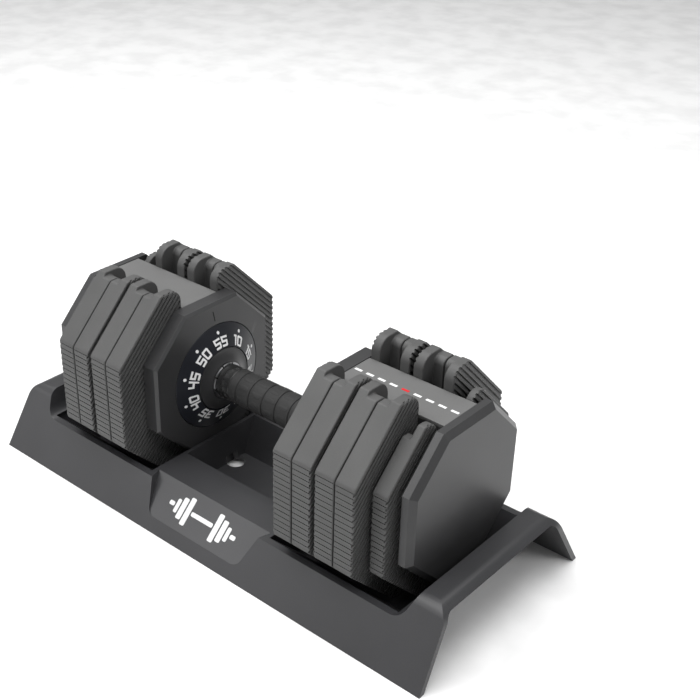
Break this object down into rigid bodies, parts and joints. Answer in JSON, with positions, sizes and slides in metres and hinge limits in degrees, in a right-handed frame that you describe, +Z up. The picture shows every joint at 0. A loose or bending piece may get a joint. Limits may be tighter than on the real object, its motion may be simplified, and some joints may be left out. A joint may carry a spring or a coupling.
{
  "type": "adjustable dumbbell with tray",
  "caption": "Selectable dumbbell with octagonal weight plates, a twist handle with numbered dials, and a moulded tray that holds the plates it leaves behind.",
  "frame": {"origin": "centre of the tray's footprint, on the surface the tray stands on", "axes": "+X along the handle towards the right head, +Y towards the back of the tray, +Z up"},
  "size_m": [0.502, 0.223, 0.1927],
  "materials": {
    "tray": "satin moulded",
    "feet": "matte",
    "guard": "satin moulded",
    "cover": "satin moulded",
    "plate": "fine textured coating",
    "cam": "plain",
    "dial": "satin moulded",
    "hub": "satin moulded",
    "gloss_black": "polished",
    "bright_ring": "bright",
    "grip": "soft matte",
    "steel": "plain",
    "screws": "zinc",
    "bronze": "plain"
  },
  "bodies": {
    "tray": {"tray": "tray", "rubber_feet": "feet"},
    "dumbbell": {"left_inner_flange": "guard", "left_head_core": "guard", "left_top_cover": "cover", "left_end_cap": "guard", "left_bush": "bronze", "left_lock_spring": "steel", "right_inner_flange": "guard", "right_head_core": "guard", "right_top_cover": "cover", "right_end_cap": "guard", "right_bush": "bronze", "right_lock_spring": "steel", "flange_screws": "screws", "cap_screws": "screws", "detent_balls": "steel", "detent_springs": "steel", "centre_shaft": "steel", "shaft_washers": "steel", "shaft_nuts": "steel"},
    "selector": {"handle_tube": "steel", "grip": "grip", "left_collar": "gloss_black", "left_trim_ring": "bright_ring", "left_dial_hub": "hub", "left_dial": "dial", "left_selector_sleeve": "steel", "right_collar": "gloss_black", "right_trim_ring": "bright_ring", "right_dial_hub": "hub", "right_dial": "dial", "right_selector_sleeve": "steel", "left_selector_disc_1": "cam", "left_selector_disc_2": "cam", "left_selector_disc_3": "cam", "left_selector_disc_4": "cam", "left_selector_disc_5": "cam", "right_selector_disc_1": "cam", "right_selector_disc_2": "cam", "right_selector_disc_3": "cam", "right_selector_disc_4": "cam", "right_selector_disc_5": "cam"},
    "left_plate_1": {"left_plate_1": "plate"},
    "left_plate_2": {"left_plate_2": "plate"},
    "left_plate_3": {"left_plate_3": "plate"},
    "left_plate_4": {"left_plate_4": "plate"},
    "right_plate_1": {"right_plate_1": "plate"},
    "right_plate_2": {"right_plate_2": "plate"},
    "right_plate_3": {"right_plate_3": "plate"},
    "right_plate_4": {"right_plate_4": "plate"},
    "left_small_plate": {"left_small_plate": "plate"},
    "right_small_plate": {"right_small_plate": "plate"},
    "left_lock_pin": {"left_lock_pin": "steel"},
    "right_lock_pin": {"right_lock_pin": "steel"}
  },
  "joints": [
    {"name": "dumbbell_lift", "type": "slide", "parent": "tray", "child": "dumbbell", "axis": [0, 0, 1], "range_m": [0, 0.2]},
    {"name": "weight_dial", "type": "hinge", "parent": "dumbbell", "child": "selector", "pos_m": [0, 0, 0.1034], "axis": [1, 0, 0], "range_deg": [-324, 0]},
    {"name": "left_plate_1_lift", "type": "slide", "parent": "tray", "child": "left_plate_1", "axis": [0, 0, 1], "range_m": [0, 0.2]},
    {"name": "left_plate_2_lift", "type": "slide", "parent": "tray", "child": "left_plate_2", "axis": [0, 0, 1], "range_m": [0, 0.2]},
    {"name": "left_plate_3_lift", "type": "slide", "parent": "tray", "child": "left_plate_3", "axis": [0, 0, 1], "range_m": [0, 0.2]},
    {"name": "left_plate_4_lift", "type": "slide", "parent": "tray", "child": "left_plate_4", "axis": [0, 0, 1], "range_m": [0, 0.2]},
    {"name": "right_plate_1_lift", "type": "slide", "parent": "tray", "child": "right_plate_1", "axis": [0, 0, 1], "range_m": [0, 0.2]},
    {"name": "right_plate_2_lift", "type": "slide", "parent": "tray", "child": "right_plate_2", "axis": [0, 0, 1], "range_m": [0, 0.2]},
    {"name": "right_plate_3_lift", "type": "slide", "parent": "tray", "child": "right_plate_3", "axis": [0, 0, 1], "range_m": [0, 0.2]},
    {"name": "right_plate_4_lift", "type": "slide", "parent": "tray", "child": "right_plate_4", "axis": [0, 0, 1], "range_m": [0, 0.2]},
    {"name": "left_small_plate_lift", "type": "slide", "parent": "tray", "child": "left_small_plate", "axis": [0, 0, 1], "range_m": [0, 0.2]},
    {"name": "right_small_plate_lift", "type": "slide", "parent": "tray", "child": "right_small_plate", "axis": [0, 0, 1], "range_m": [0, 0.2]},
    {"name": "left_lock_drop", "type": "slide", "parent": "dumbbell", "child": "left_lock_pin", "axis": [0, 0, -1], "range_m": [0, 0.0035], "deforming": ["left_lock_spring"]},
    {"name": "right_lock_drop", "type": "slide", "parent": "dumbbell", "child": "right_lock_pin", "axis": [0, 0, -1], "range_m": [0, 0.0035], "deforming": ["right_lock_spring"]}
  ],
  "couplings": [
    {"joint": "left_plate_1_lift", "follows": "dumbbell_lift", "ratio": 1},
    {"joint": "left_plate_2_lift", "follows": "dumbbell_lift", "ratio": 1},
    {"joint": "left_plate_3_lift", "follows": "dumbbell_lift", "ratio": 1},
    {"joint": "left_plate_4_lift", "follows": "dumbbell_lift", "ratio": 1},
    {"joint": "right_plate_1_lift", "follows": "dumbbell_lift", "ratio": 1},
    {"joint": "right_plate_2_lift", "follows": "dumbbell_lift", "ratio": 1},
    {"joint": "right_plate_3_lift", "follows": "dumbbell_lift", "ratio": 1},
    {"joint": "right_plate_4_lift", "follows": "dumbbell_lift", "ratio": 1},
    {"joint": "left_small_plate_lift", "follows": "dumbbell_lift", "ratio": 1},
    {"joint": "right_small_plate_lift", "follows": "dumbbell_lift", "ratio": 1},
    {"joint": "left_lock_drop", "follows": "dumbbell_lift", "ratio": 0.0175},
    {"joint": "right_lock_drop", "follows": "dumbbell_lift", "ratio": 0.0175}
  ]
}
